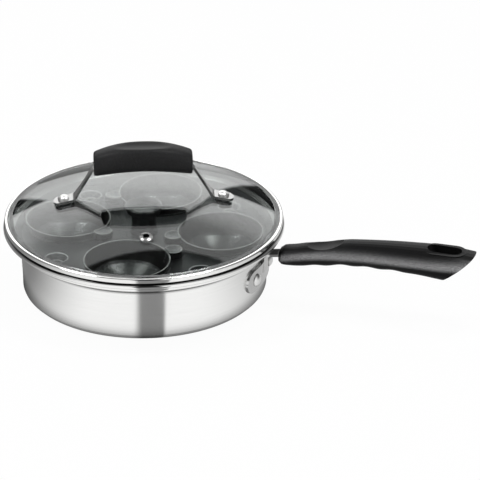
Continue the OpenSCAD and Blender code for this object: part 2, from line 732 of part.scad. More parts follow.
module knob_screw() {
    head_z = tray_top_z - tray_sheet - tray_washer_t;
    color(steel) translate([0, 0, head_z]) {
        cylinder(r = tray_screw_r, h = tray_top_z + knob_bore - head_z, $fn = 32);
        translate([0, 0, -tray_screw_head_h])
            cylinder(r = tray_screw_head_r, h = tray_screw_head_h, $fn = 48);
    }
}

module knob_washer() {
    color(steel) translate([0, 0, tray_top_z - tray_sheet - tray_washer_t]) difference() {
        cylinder(r = tray_washer_r, h = tray_washer_t, $fn = 48);
        translate([0, 0, -1]) cylinder(r = tray_screw_r, h = 4, $fn = 32);
    }
}

// A cup: a bowl whose wall stands proud of the tray on a narrow seat ring, with a dished thumb tab
module cup(bearing, tab_bearing) {
    straight = cup_stand + 3;
    side = [[0, 0], [cup_floor_r, 0], [throat_r - 4, cup_depth * 0.3],
            [cup_rim_r - straight * cup_lean, cup_depth - straight], [cup_rim_r, cup_depth]];
    color(coated) rotate([0, 0, tray_turn + bearing]) translate([cup_pitch_r, 0, cup_floor_z]) {
        rotate_extrude() {
            polygon(sheet(rounded(side, 6, 6), cup_wall));
            translate([throat_r - seat_root, cup_depth - cup_stand])
                square([seat_root + cup_clear + seat_ring_w, seat_ring_h]);
        }
        rotate([0, 0, tab_bearing - bearing]) difference() {
            translate([tab_reach, 0, cup_depth + tab_lift - tab_h]) difference() {
                cylinder(r = tab_r, h = tab_h, $fn = 48);
                translate([0, 0, tab_h - tab_dish + tab_ball]) sphere(r = tab_ball);
            }
            cylinder(r = cup_rim_r - cup_wall * 0.7, h = cup_depth + 10);
        }
    }
}

module egg_cup_right() { cup(0, 206); }

module egg_cup_back() { cup(90, 205); }

module egg_cup_left() { cup(180, 329); }

module egg_cup_front() { cup(270, 393); }

pan_body();
handle_bracket();
pan_rivets();
long_handle();
tang_screw();
tang_nut();
lid_glass();
lid_band();
steam_vent();
lid_bail();
lid_grip();
bail_screws();
bail_outer_washers();
bail_inner_washers();
bail_nuts();
poacher_tray();
tray_knob();
knob_screw();
knob_washer();
egg_cup_right();
egg_cup_back();
egg_cup_left();
egg_cup_front();
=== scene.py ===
"""Looks of a four-cup egg poacher pan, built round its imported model.

Smoothly curved pieces are swept again from fine profiles, the others carry over,
and every piece gets a procedural material. Lengths in the size classes are
millimetres and angles are degrees; everything in the scene is metres.
"""

from __future__ import annotations

import json
import logging
import math
from dataclasses import dataclass
from enum import Enum
from typing import Sequence

import bmesh
import bpy
import numpy as np
from mathutils import Matrix, Vector

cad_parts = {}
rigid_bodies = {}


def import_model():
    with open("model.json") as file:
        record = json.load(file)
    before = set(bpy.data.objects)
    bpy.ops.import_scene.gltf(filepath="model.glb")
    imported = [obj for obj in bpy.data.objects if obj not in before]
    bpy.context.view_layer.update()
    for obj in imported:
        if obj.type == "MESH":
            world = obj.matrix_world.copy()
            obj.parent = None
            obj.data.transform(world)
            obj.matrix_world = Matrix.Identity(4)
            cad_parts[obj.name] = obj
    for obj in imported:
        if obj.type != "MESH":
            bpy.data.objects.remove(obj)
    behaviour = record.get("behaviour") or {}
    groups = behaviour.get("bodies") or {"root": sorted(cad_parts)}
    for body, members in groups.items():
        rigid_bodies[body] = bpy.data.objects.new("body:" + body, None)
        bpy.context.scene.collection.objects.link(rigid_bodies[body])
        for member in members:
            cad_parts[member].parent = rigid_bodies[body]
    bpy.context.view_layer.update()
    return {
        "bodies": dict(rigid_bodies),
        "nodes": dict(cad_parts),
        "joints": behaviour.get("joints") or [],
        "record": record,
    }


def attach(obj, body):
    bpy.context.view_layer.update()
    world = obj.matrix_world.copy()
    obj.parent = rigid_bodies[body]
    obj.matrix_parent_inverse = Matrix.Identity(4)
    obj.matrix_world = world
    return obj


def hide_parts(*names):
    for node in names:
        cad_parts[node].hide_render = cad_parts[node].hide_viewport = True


LOG = logging.getLogger("egg_poacher_pan")
MM = 0.001
# A place past the object's end, in millimetres, where a zone of a finish never starts.
NOWHERE = 1000.0
Colour = tuple[float, float, float]


# Shapes


def rounded(
    points: Sequence[Sequence[float]], radius: float | Sequence[float], count: int = 6
) -> np.ndarray:
    """Rounds a polyline's inner corners with arcs.

    Args:
        points: The polyline's corners.
        radius: One radius for all corners, or one for each point; 0 keeps a corner sharp.
        count: Steps in each arc.

    Returns:
        The rounded polyline as an array of 2-D points.
    """
    pts = np.asarray(points, float)
    radii = np.broadcast_to(np.asarray(radius, float), len(pts))
    pieces = [pts[:1]]
    for before, here, after, r in zip(pts, pts[1:], pts[2:], radii[1:]):
        u, w = before - here, after - here
        lu, lw = np.linalg.norm(u), np.linalg.norm(w)
        u, w = u / lu, w / lw
        half = math.acos(float(np.clip(u @ w, -1, 1))) / 2
        if r <= 0 or half > math.radians(89):
            pieces.append(here[None])
            continue
        cut = min(r / math.tan(half), 0.49 * lu, 0.49 * lw)
        fit = cut * math.tan(half)
        mid = here + (u + w) / np.linalg.norm(u + w) * fit / math.sin(half)
        first, last = here + u * cut - mid, here + w * cut - mid
        start = math.atan2(first[1], first[0])
        turn = (math.atan2(last[1], last[0]) - start + math.pi) % (2 * math.pi) - math.pi
        angle = start + turn * np.linspace(0, 1, count + 1)
        pieces.append(mid + fit * np.stack([np.cos(angle), np.sin(angle)], axis=1))
    pieces.append(pts[-1:])
    return np.concatenate(pieces)


def arc(centre: Sequence[float], radius: float, start: float, stop: float, count: int = 10) -> np.ndarray:
    """Points on a circle's arc from one angle to another."""
    angle = np.radians(np.linspace(start, stop, count + 1))
    return np.asarray(centre, float) + radius * np.stack([np.cos(angle), np.sin(angle)], axis=1)


def offset(points: np.ndarray, distance: float) -> np.ndarray:
    """Shifts a polyline to its left by a distance, with mitred corners."""
    step = np.diff(points, axis=0)
    step /= np.linalg.norm(step, axis=1, keepdims=True)
    before, after = np.vstack([step[:1], step]), np.vstack([step, step[-1:]])
    normal = np.stack([-(before + after)[:, 1], (before + after)[:, 0]], axis=1)
    normal /= np.linalg.norm(normal, axis=1, keepdims=True)
    side = np.stack([-before[:, 1], before[:, 0]], axis=1)
    return points + distance * normal / np.sum(normal * side, axis=1, keepdims=True)


def band_of(points: np.ndarray, thickness: float) -> np.ndarray:
    """The closed outline of a sheet of this thickness, centred on a polyline."""
    return np.vstack([offset(points, thickness / 2), offset(points, -thickness / 2)[::-1]])


def grid_object(
    name: str, rings: np.ndarray, wrap: bool = False, caps: bool = True, sharp: float = 32
) -> bpy.types.Object:
    """Makes a smooth mesh from rings of points.

    Args:
        name: The object's name.
        rings: Array (rings, points, 3) in millimetres; each ring is a closed loop.
        wrap: True where the last ring joins the first.
        caps: True where the first and last ring are closed with a face.
        sharp: Edges that turn by more than this angle stay crisp.

    Returns:
        The new object, at the origin, with its place in its mesh.
    """
    rows, cols, _ = rings.shape
    index = np.arange(rows * cols).reshape(rows, cols)
    below = index if wrap else index[:-1]
    above = np.roll(index, -1, axis=0) if wrap else index[1:]
    quads = np.stack([below, np.roll(below, -1, axis=1), np.roll(above, -1, axis=1), above], axis=-1)
    faces = quads.reshape(-1, 4).tolist()
    if caps and not wrap:
        faces += [index[0][::-1].tolist(), index[-1].tolist()]
    mesh = bpy.data.meshes.new(name)
    mesh.from_pydata((rings.reshape(-1, 3) * MM).tolist(), [], faces)
    work = bmesh.new()
    work.from_mesh(mesh)
    bmesh.ops.remove_doubles(work, verts=work.verts, dist=1e-7)
    bmesh.ops.recalc_face_normals(work, faces=work.faces)
    work.to_mesh(mesh)
    work.free()
    mesh.shade_smooth()
    mesh.set_sharp_from_angle(angle=math.radians(sharp))
    thing = bpy.data.objects.new(name, mesh)
    bpy.context.scene.collection.objects.link(thing)
    return thing


def lathe(
    name: str, profile: np.ndarray, segments: int = 192, closed: bool = False, sharp: float = 32
) -> bpy.types.Object:
    """Turns a profile of (radius, height) points about the Z axis.

    Args:
        name: The object's name.
        profile: The profile in millimetres.
        segments: Steps round the axis.
        closed: True where the profile is a loop clear of the axis.
        sharp: Edges that turn by more than this angle stay crisp.

    Returns:
        The new object.
    """
    angle = np.linspace(0, 2 * math.pi, segments, endpoint=False)
    r, z = profile[:, :1], profile[:, 1:]
    heights = np.broadcast_to(z, (len(profile), segments))
    rings = np.stack([r * np.cos(angle), r * np.sin(angle), heights], axis=-1)
    return grid_object(name, rings, wrap=closed, caps=False, sharp=sharp)


def place(
    thing: bpy.types.Object, turn: float = 0, shift: Sequence[float] = (0, 0, 0), tilt: float = 0
) -> bpy.types.Object:
    """Tilts a mesh about Y, shifts it in millimetres and turns it about Z, all in its vertices.

    Args:
        thing: The object, which stays at the origin.
        turn: Degrees about the Z axis, last.
        shift: Millimetres along X, Y and Z.
        tilt: Degrees about the Y axis, first.

    Returns:
        The same object.
    """
    matrix = Matrix.Rotation(math.radians(turn), 4, "Z") @ Matrix.Translation(Vector(shift) * MM)
    thing.data.transform(matrix @ Matrix.Rotation(math.radians(tilt), 4, "Y"))
    return thing


def join(name: str, things: Sequence[bpy.types.Object]) -> bpy.types.Object:
    """Puts the meshes of several objects into one, which takes the name."""
    work = bmesh.new()
    for thing in things:
        work.from_mesh(thing.data)
    mesh = bpy.data.meshes.new(name)
    work.to_mesh(mesh)
    work.free()
    for thing in things:
        bpy.data.objects.remove(thing)
    whole = bpy.data.objects.new(name, mesh)
    bpy.context.scene.collection.objects.link(whole)
    return whole


def carve(
    thing: bpy.types.Object, cutters: Sequence[bpy.types.Object], sharp: float = 32
) -> bpy.types.Object:
    """Cuts other closed meshes out of an object's mesh, and removes them.

    Args:
        thing: The object to cut.
        cutters: Closed meshes that cross it.
        sharp: Edges that turn by more than this angle stay crisp.

    Returns:
        The same object with its new mesh.
    """
    for cutter in cutters:
        cut = thing.modifiers.new("cut", "BOOLEAN")
        cut.operation = "DIFFERENCE"
        cut.object = cutter
        cut.solver = "EXACT"
    bpy.context.view_layer.update()
    mesh = bpy.data.meshes.new_from_object(thing.evaluated_get(bpy.context.evaluated_depsgraph_get()))
    thing.modifiers.clear()
    thing.data = mesh
    for cutter in cutters:
        bpy.data.objects.remove(cutter)
    mesh.shade_smooth()
    mesh.set_sharp_from_angle(angle=math.radians(sharp))
    return thing


# Shader graphs


@dataclass(frozen=True)
class Wire:
    """A number that flows through a node graph, with the usual arithmetic."""

    graph: Graph
    socket: bpy.types.NodeSocket

    def _op(self, operation: str, *others: Wire | float) -> Wire:
        """The number passed through one Math node."""
        return self.graph.math(operation, self, *others)

    def __add__(self, other: Wire | float) -> Wire:
        """The sum."""
        return self._op("ADD", other)

    def __radd__(self, other: Wire | float) -> Wire:
        """The sum, with the number on the left."""
        return self._op("ADD", other)

    def __sub__(self, other: Wire | float) -> Wire:
        """The difference."""
        return self._op("SUBTRACT", other)

    def __mul__(self, other: Wire | float) -> Wire:
        """The product."""
        return self._op("MULTIPLY", other)

    def __rmul__(self, other: Wire | float) -> Wire:
        """The product, with the number on the left."""
        return self._op("MULTIPLY", other)

    def __truediv__(self, other: Wire | float) -> Wire:
        """The quotient."""
        return self._op("DIVIDE", other)

    def __rsub__(self, other: Wire | float) -> Wire:
        """The difference, with the number on the left."""
        return self.graph.math("SUBTRACT", other, self)

    def __abs__(self) -> Wire:
        """The size without the sign."""
        return self._op("ABSOLUTE")

    def step(self, low: float, high: float, start: float = 0, stop: float = 1) -> Wire:
        """Rises smoothly from start to stop as the number goes from low to high."""
        inputs = {
            "Value": self, "From Min": low, "From Max": high, "To Min": start, "To Max": stop}
        return self.graph.node("ShaderNodeMapRange", inputs, interpolation_type="SMOOTHSTEP")


class Graph:
    """The node graph of a material or of the world."""

    def __init__(self, owner: bpy.types.Material | bpy.types.World) -> None:
        """Empties the owner's graph.

        Args:
            owner: The material or the world that the graph belongs to.
        """
        owner.use_nodes = True
        of_world = isinstance(owner, bpy.types.World)
        self.output = "ShaderNodeOutputWorld" if of_world else "ShaderNodeOutputMaterial"
        self.tree = owner.node_tree
        self.tree.nodes.clear()

    def feed(self, socket: bpy.types.NodeSocket, value: object) -> None:
        """Links a wire to a socket, or sets the socket's own value."""
        if isinstance(value, Wire):
            self.tree.links.new(value.socket, socket)
        else:
            socket.default_value = value

    def node(
        self, kind: str, inputs: dict | None = None, output: int | str = 0, **settings: object
    ) -> Wire:
        """Adds any node and gives one of its outputs.

        Args:
            kind: The node's Blender type.
            inputs: Input names or numbers with their wires or values.
            output: The output to give back.
            **settings: Values for the node's own properties.

        Returns:
            The chosen output, or an empty wire for a node that has none.
        """
        made = self.tree.nodes.new(kind)
        for key, value in settings.items():
            setattr(made, key, value)
        for key, value in (inputs or {}).items():
            self.feed(made.inputs[key], value)
        return Wire(self, made.outputs[output] if len(made.outputs) else None)

    def math(self, operation: str, *values: Wire | float) -> Wire:
        """A Math node on up to three numbers."""
        return self.node("ShaderNodeMath", dict(enumerate(values)), operation=operation)

    def vector(self, operation: str, a: object, b: object, output: str = "Vector") -> Wire:
        """A Vector Math node on two vectors."""
        return self.node("ShaderNodeVectorMath", {0: a, 1: b}, output, operation=operation)

    def blend(self, amount: Wire | float, a: object, b: object) -> Wire:
        """A colour that goes from a to b."""
        return self.node("ShaderNodeMix", {0: amount, 6: a, 7: b}, 2, data_type="RGBA")

    def place(self) -> tuple[Wire, Wire, Wire, Wire]:
        """The point on the object as a vector and its three coordinates, in metres."""
        point = self.node("ShaderNodeTexCoord", output="Object")
        return (point, *(self.node("ShaderNodeSeparateXYZ", {0: point}, i) for i in range(3)))

    def pack(self, x: object, y: object, z: object) -> Wire:
        """A vector from three numbers."""
        return self.node("ShaderNodeCombineXYZ", {0: x, 1: y, 2: z})

    def noise(self, vector: Wire, scale: float, detail: float = 2, roughness: float = 0.5) -> Wire:
        """Cloudy noise between 0 and 1."""
        inputs = {"Vector": vector, "Scale": scale, "Detail": detail, "Roughness": roughness}
        return self.node("ShaderNodeTexNoise", inputs, "Fac")

    def bump(self, height: Wire, depth: float, strength: float = 1) -> Wire:
        """A normal for relief of this depth in metres."""
        return self.node("ShaderNodeBump", {"Height": height, "Distance": depth, "Strength": strength})

    def surface(self, shader: Wire) -> None:
        """Sends a shader to the output."""
        self.node(self.output, {"Surface": shader})


def rgba(colour: Colour, share: float = 1.0) -> tuple[float, float, float, float]:
    """A share of a colour, with full alpha."""
    return (*(part * share for part in colour), 1.0)


def from_axis(g: Graph, x: Wire, y: Wire) -> Wire:
    """How far a point lies from the axis of x and y."""
    return g.math("SQRT", x * x + y * y)


# Finishes


# Painted shade: near-black for the vent's bore and the cups' outer walls.
SHADE_BLACK: Colour = (0.004, 0.004, 0.004)
# Painted shade: the dark of the gap between the lid's band and the pan's rim.
GAP_SHADE: Colour = (0.01, 0.01, 0.01)
# Painted highlight: the pale of the handle's crease sheen and of the rings round the tray's vent funnels.
PAINTED_SHEEN: Colour = (0.3, 0.3, 0.303)


class Grain(Enum):
    """How a steel surface was finished."""

    TURNED = "fine grooves round the Z axis"
    POLISHED = "buffed, with faint hairlines"


@dataclass(frozen=True)
class Steel:
    """Stainless steel."""

    name: str
    colour: Colour = (0.78, 0.775, 0.76)
    rough: float = 0.2
    grain: Grain = Grain.POLISHED
    groove: float = 4e-6
    anisotropy: float = 0.0
    shaded_seam: tuple[float, float] = (0.0, 0.0)
    bright_above: float = NOWHERE
    shade_from: float = NOWHERE
    shade_within: float = 0.0
    bore: tuple[float, ...] = ()

    def material(self) -> bpy.types.Material:
        """The material, with its grooves or hairlines and faint handling marks.

        All places are in millimetres. A band of heights (its middle and half width) is painted dark, as the
        shade in the gap between the lid's band and the rolled rim. Above
        `bright_above` the sheet is buffed, and from a given place on along the X axis it is painted dark as
        shade.
        Within a given radius, under the lid, the sheet is painted dark as shade. A `bore` (X, Y and radius)
        is painted black inside, as the shade in the hole.
        """
        made = bpy.data.materials.new(self.name)
        g = Graph(made)
        point, x, y, z = g.place()
        cloud = g.noise(point, 38, 3)
        if self.grain is Grain.TURNED:
            r = from_axis(g, x, y)
            along = g.pack(x / r * 1.6, y / r * 1.6, (z + r) * 1500)
            lines = g.noise(along, 1, 4, 0.7)
            fine = g.noise(g.pack(x / r * 9, y / r * 9, (z + r) * 5200), 1, 2, 0.6)
            marks = lines * 0.6 + fine * 0.4
        else:
            marks = g.noise(g.vector("MULTIPLY", point, (900, 900, 2600)), 1, 3, 0.6)
        colour = g.blend(marks.step(0.3, 0.7), rgba(self.colour, 0.96), rgba(self.colour, 1.02))
        # Painted shade: the gap between the lid's band and the rolled rim is darkened.
        if self.shaded_seam[1] > 0:
            middle, half = self.shaded_seam
            shade = abs(z / MM - middle).step(half * 0.6, half, 0.96, 0)
            colour = g.blend(shade, colour, rgba(GAP_SHADE))
        # Painted shade: the bracket's neck is darkened from here on along X.
        if self.shade_from < NOWHERE:
            dim = (x / MM).step(self.shade_from, self.shade_from + 1.5)
            colour = g.blend(dim, colour, rgba(self.colour, 0.22))
        # Painted shade: inside the flare and the band's skirt, under the lid, the sheet is darkened.
        if self.shade_within > 0:
            inner = (from_axis(g, x, y) / MM).step(self.shade_within - 0.4, self.shade_within, 0.9, 0)
            above_wall = (z / MM).step(38.0, 41.0)
            colour = g.blend(inner * above_wall, colour, rgba(self.colour, 0.06))
        # Painted shade: the inside of the vent's bore is painted black.
        if self.bore:
            middle_x, middle_y, bore_r = self.bore
            reach = from_axis(g, x / MM - middle_x, y / MM - middle_y)
            colour = g.blend(reach.step(bore_r - 0.3, bore_r, 1, 0), colour, rgba(SHADE_BLACK))
        rough = self.rough + (marks - 0.5) * 0.1 + (cloud - 0.5) * 0.05
        if self.bright_above < NOWHERE:
            buffed = (z / MM).step(self.bright_above - 1, self.bright_above, 0, self.rough * 0.6)
            rough = rough - buffed
        g.surface(g.node("ShaderNodeBsdfPrincipled", {
            "Base Color": colour, "Metallic": 1.0, "Roughness": rough, "IOR": 2.5,
            "Anisotropic": self.anisotropy, "Anisotropic Rotation": 0.25,
            "Normal": g.bump(marks, self.groove, 0.6)}))
        return made


@dataclass(frozen=True)
class Phenolic:
    """Black moulded phenolic with a finely grained skin."""

    name: str
    colour: Colour = (0.01, 0.01, 0.0105)
    rough: float = 0.36
    grain: float = 2.2e-5
    ior: float = 1.17
    crease: tuple[float, ...] = ()

    def material(self) -> bpy.types.Material:
        """The material, with its moulded grain and a little wear on the gloss.

        Along the crease a pale sheen is painted on as a highlight. The crease's height in millimetres is a
        cubic in X in decimetres, highest power first.
        """
        made = bpy.data.materials.new(self.name)
        g = Graph(made)
        point, x, y, z = g.place()
        pebble = g.noise(point, 2300, 2, 0.6)
        cloud = g.noise(point, 45, 3)
        colour = g.blend(pebble.step(0.35, 0.75), rgba(self.colour, 0.75), rgba(self.colour, 1.6))
        # Painted highlight: a pale sheen along the handle's crease, strongest just above it.
        if self.crease:
            line = x * 0.0
            for factor in self.crease:
                line = line * (x * 10.0) + factor
            above = z / MM - line
            sheen_mask = above.step(-6.0, -1.0) * above.step(-1.0, 8.0, 1.0, 0.0)
            on_side = (abs(y) / MM).step(7.0, 9.5)
            sheen_mask = sheen_mask * sheen_mask * pebble.step(0.35, 0.65, 0.25, 1.3) * on_side
            colour = g.blend(sheen_mask, colour, rgba(PAINTED_SHEEN))
        rough = self.rough + (pebble - 0.5) * 0.22 + (cloud - 0.5) * 0.1
        g.surface(g.node("ShaderNodeBsdfPrincipled", {
            "Base Color": colour, "Roughness": rough, "IOR": self.ior,
            "Normal": g.bump(pebble, self.grain, 0.8)}))
        return made


@dataclass(frozen=True)
class Coating:
    """Dark non-stick coating with fine light specks."""

    name: str
    colour: Colour = (0.018, 0.0185, 0.019)
    speck: Colour = (0.07, 0.07, 0.072)
    rough: float = 0.3
    ior: float = 1.2
    rings: tuple[float, ...] = ()

    def material(self) -> bpy.types.Material:
        """The material, with specks and an orange-peel skin.

        The first of `rings` is how far a vent funnel's middle lies from both of the tray's own axes. The
        others are the radii round it at which pale rings are painted on, as highlights of the funnel's edges.
        The tray is folded along both axes, so that one funnel stands for all four.
        """
        made = bpy.data.materials.new(self.name)
        g = Graph(made)
        point, x, y, _ = g.place()
        specks = g.noise(point, 1700, 2, 0.6)
        peel = g.noise(point, 620, 2)
        cloud = g.noise(point, 30, 3)
        colour = g.blend(specks.step(0.62, 0.74), rgba(self.colour), rgba(self.speck))
        # Painted highlight: pale rings round each vent funnel.
        if self.rings:
            turn = math.radians(TraySize().turn)
            funnel, *glint_radii = self.rings
            along = abs(x * math.cos(turn) + y * math.sin(turn)) / MM - funnel
            across = abs(y * math.cos(turn) - x * math.sin(turn)) / MM - funnel
            reach = from_axis(g, along, across)
            for ring in glint_radii:
                sheen_mask = abs(reach - ring).step(0.25, 0.6, 0.8, 0)
                colour = g.blend(sheen_mask, colour, rgba(PAINTED_SHEEN))
        rough = self.rough + (specks - 0.5) * 0.24 + (cloud - 0.5) * 0.08
        g.surface(g.node("ShaderNodeBsdfPrincipled", {
            "Base Color": colour, "Roughness": rough, "IOR": self.ior,
            "Normal": g.bump(peel * 0.6 + specks * 0.4, 3.2e-5, 0.8)}))
        return made


@dataclass(frozen=True)
class Silicone:
    """Soft black silicone."""

    name: str
    colour: Colour = (0.02, 0.02, 0.021)
    rough: float = 0.62

    def material(self) -> bpy.types.Material:
        """The material, with a dusty matt skin."""
        made = bpy.data.materials.new(self.name)
        g = Graph(made)
        point, *_ = g.place()
        skin = g.noise(point, 1400, 3)
        g.surface(g.node("ShaderNodeBsdfPrincipled", {
            "Base Color": g.blend(skin, rgba(self.colour, 0.8), rgba(self.colour, 1.9)),
            "Roughness": self.rough + (skin - 0.5) * 0.2, "Normal": g.bump(skin, 1.5e-5)}))
        return made


@dataclass(frozen=True)
class Glass:
    """Clear tempered glass."""

    name: str
    tint: Colour = (0.93, 0.965, 0.95)

    def material(self) -> bpy.types.Material:
        """The material, with the slight unevenness of pressed glass; its shadow is only a pale veil."""
        made = bpy.data.materials.new(self.name)
        g = Graph(made)
        point, *_ = g.place()
        swell = g.noise(point, 26, 1)
        haze = g.noise(point, 60, 3)
        clear = g.node("ShaderNodeBsdfPrincipled", {
            "Base Color": rgba(self.tint), "Transmission Weight": 1.0, "IOR": 1.5,
            "Roughness": haze.step(0.6, 0.9, 0.0, 0.01), "Normal": g.bump(swell, 1.5e-5, 0.5)})
        shadow = g.node("ShaderNodeLightPath", output="Is Shadow Ray")
        veil = g.node("ShaderNodeBsdfTransparent", {"Color": rgba(self.tint, 0.9)})
        g.surface(g.node("ShaderNodeMixShader", {0: shadow, 1: clear, 2: veil}))
        return made


# Pieces


@dataclass(frozen=True)
class PanSize:
    """The pan's sheet, flare and rolled rim."""

    base_r: float = 92.3
    lean: float = 1.5
    wall_h: float = 40.5
    sheet: float = 1.0
    base_t: float = 2.6
    corner: float = 2.6
    flare_w: float = 8.6
    flare_rise: float = 5.0
    collar_h: float = 4.9
    bead_r: float = 1.9

    @property
    def wall_r(self) -> float:
        """Outside radius where the wall turns into the flare."""
        return self.base_r + self.lean

    @property
    def collar_r(self) -> float:
        """Outside radius of the collar."""
        return self.wall_r + self.flare_w

    @property
    def flare_z(self) -> float:
        """Height of the flare's top."""
        return self.wall_h + self.flare_rise

    @property
    def bead(self) -> tuple[float, float]:
        """Middle of the rolled rim's section."""
        return self.collar_r + self.bead_r - 0.1, self.flare_z + self.collar_h

    @property
    def rim_z(self) -> float:
        """Height of the rolled rim's top."""
        return self.bead[1] + self.bead_r


@dataclass(frozen=True)
class LidSize:
    """The glass, its band and what is fixed to it.

    The glass leaves its dome `shoulder` inside the foot of its edge on the under face, and `ledge` inside
    it on top.
    """

    glass_t: float = 3.2
    dome_r: float = 272.0
    shoulder: float = 2.0
    ledge: float = 2.6
    drop: float = 0.9
    sheet: float = 0.5
    band_w: float = 2.6
    band_bend: float = 1.2
    skirt_h: float = 3.4
    skirt_clear: float = 0.6
    gap: float = 0.4
    turn: float = 19.3
    bail_pitch: float = 59.6
    vent_pitch: float = 61.5
    screw_hole: float = 2.55
    vent_hole: float = 3.35


@dataclass(frozen=True)
class TraySize:
    """The tray's place, its cups and its knob."""

    flat_edge: float = 2.0
    clear: float = 0.3
    sheet: float = 1.0
    turn: float = 5.2
    cup_gap: float = 18.0
    cup_edge: float = 0.8
    cup_stand: float = 6.4
    cup_depth: float = 23.4
    cup_lean: float = 0.25
    cup_wall: float = 1.4
    cup_floor: float = 14.0
    ring_w: float = 1.4
    ring_h: float = 1.2
    tab_r: float = 7.0
    tab_h: float = 6.0
    tab_lift: float = 1.4
    tab_dish: float = 1.2
    tab_out: float = 4.0
    knob_top: float = 14.4
    knob_post: float = 9.6
    knob_h: float = 22.6
    knob_head: float = 6.2
    knob_dish: float = 5.0
    knob_floor: float = 7.4


class Pan:
    """The turned pan with its flare, collar and rolled rim."""

    def __init__(self, size: PanSize) -> None:
        """Takes the pan's sizes."""
        self.size = size

    def profile(self) -> np.ndarray:
        """The sheet's outline from the base's middle, up the outside, round the rim and down the inside."""
        s = self.size
        (bead_x, bead_z), t = s.bead, s.sheet
        wall = [(s.base_r - s.corner, 0), (s.base_r, s.corner), (s.wall_r, s.wall_h), (s.collar_r, s.flare_z)]
        path = rounded([(0, 0), *wall, (s.collar_r, bead_z - 1.4)], [0, 1.6, 1.6, 2, 2, 0], 7)
        inside = offset(rounded([*wall, (s.collar_r, bead_z)], 2, 7), t)
        inside = inside[inside[:, 1] > s.base_t + 1.5]
        curl = arc((bead_x, bead_z), s.bead_r, -128, 132, 30)
        lip = rounded([curl[-1], (s.collar_r - 0.5, bead_z + 1.2), (s.collar_r - t, bead_z + 0.2),
                       inside[-1]], 1.2)
        foot = rounded([inside[0], (inside[0][0] - 0.1, s.base_t), (s.base_r - 8, s.base_t),
                        (0, s.base_t)], 1.5)
        return np.vstack([path, curl, lip[1:-1], inside[::-1], foot[1:]])

    def build(self) -> bpy.types.Object:
        """The pan's body."""
        return lathe("pan_shell", self.profile(), 256)


class Lid:
    """The glass and the steel band round its edge."""

    def __init__(self, size: LidSize, pan: PanSize) -> None:
        """Works out where the band and the glass lie on the pan's rim.

        Args:
            size: The lid's own sizes.
            pan: The sizes of the pan under it.
        """
        self.size = size
        self.pan = pan
        self.band_z = pan.rim_z + size.gap
        self.band_r = pan.bead[0] + pan.bead_r - 1
        self.edge_z = self.band_z + size.sheet + size.glass_t
        self.glass_r = self.band_r - size.sheet
        self.foot = self.band_r - size.band_w - 0.5
        edge = self.foot - size.shoulder
        self.crown_z = self.edge_z + size.drop + size.dome_r - math.sqrt(size.dome_r ** 2 - edge ** 2)

    def dome(self, r: float | np.ndarray) -> np.ndarray:
        """Height of the glass's outer face at a radius."""
        return self.crown_z - self.size.dome_r + np.sqrt(self.size.dome_r ** 2 - np.square(r))

    def drill(self, pitch: float, turn: float, radius: float) -> bpy.types.Object:
        """A cutter through the glass, square to it.

        Args:
            pitch: The hole's distance from the lid's axis.
            turn: The hole's bearing in degrees.
            radius: The hole's radius.

        Returns:
            The cutter, in its place.
        """
        tube = lathe("cutter", np.array([(0, -15), (radius, -15), (radius, 15), (0, 15)], float), 32)
        tilt = math.degrees(math.asin(pitch / self.size.dome_r))
        return place(tube, turn, (pitch, 0, float(self.dome(pitch))), tilt)

    def face(
        self, edge: float, rest: Sequence[tuple[float, float]], radii: Sequence[float], count: int
    ) -> np.ndarray:
        """One face of the glass.

        Args:
            edge: Radius where the dome ends.
            rest: The corners from there to the glass's own edge.
            radii: Rounding of the corners, from a point 4 mm inside the dome's edge on.
            count: Steps in each rounding.

        Returns:
            The face's profile from the axis outwards.
        """
        near = edge - 4
        r = np.linspace(0, near, 40)
        dome = np.stack([r, self.dome(r)], axis=1)[:-1]
        corners = [(near, self.dome(near)), (edge, self.dome(edge)), *rest]
        return np.vstack([dome, rounded(corners, radii, count)])

    def glass(self) -> bpy.types.Object:
        """The domed glass with its three holes."""
        s = self.size
        end = (self.glass_r, self.edge_z)
        dome_end = self.foot - s.ledge
        level = self.dome(dome_end) - 0.08
        top = self.face(dome_end, [(self.foot + 0.35, level), (self.foot + 0.6, self.edge_z), end],
                        [0, 2, 0.2, 0.1, 0], 8)
        under = self.face(self.foot - s.shoulder, [(self.foot, self.edge_z), end], [0, 10, 1.5, 0], 12)
        under = offset(under, -s.glass_t)
        under[:, 0] = np.maximum(under[:, 0], 0)
        made = lathe("lid_glass_pane", np.vstack([top, under[::-1]]), 256, sharp=50)
        holes = [self.drill(s.bail_pitch, s.turn + half, s.screw_hole) for half in (0, 180)]
        holes.append(self.drill(s.vent_pitch, s.turn - 90, s.vent_hole))
        return carve(made, holes, 50)

    def band(self) -> bpy.types.Object:
        """The band: a folded strip that grips the glass and turns down into the skirt."""
        s = self.size
        half = s.sheet / 2
        outer = self.band_r - half
        skirt = self.pan.collar_r - self.pan.sheet - s.skirt_clear - half
        path = rounded([(self.foot + 0.42, self.edge_z + 0.8), (self.foot + 0.9, self.edge_z + half),
                        (outer, self.edge_z + half), (outer, self.band_z + half), (skirt, self.band_z + half),
                        (skirt, self.band_z - s.skirt_h)], [0, 0.5, 0.9, s.band_bend, s.band_bend, 0], 10)
        return lathe("lid_rim_band", band_of(path, s.sheet), 256, closed=True, sharp=60)


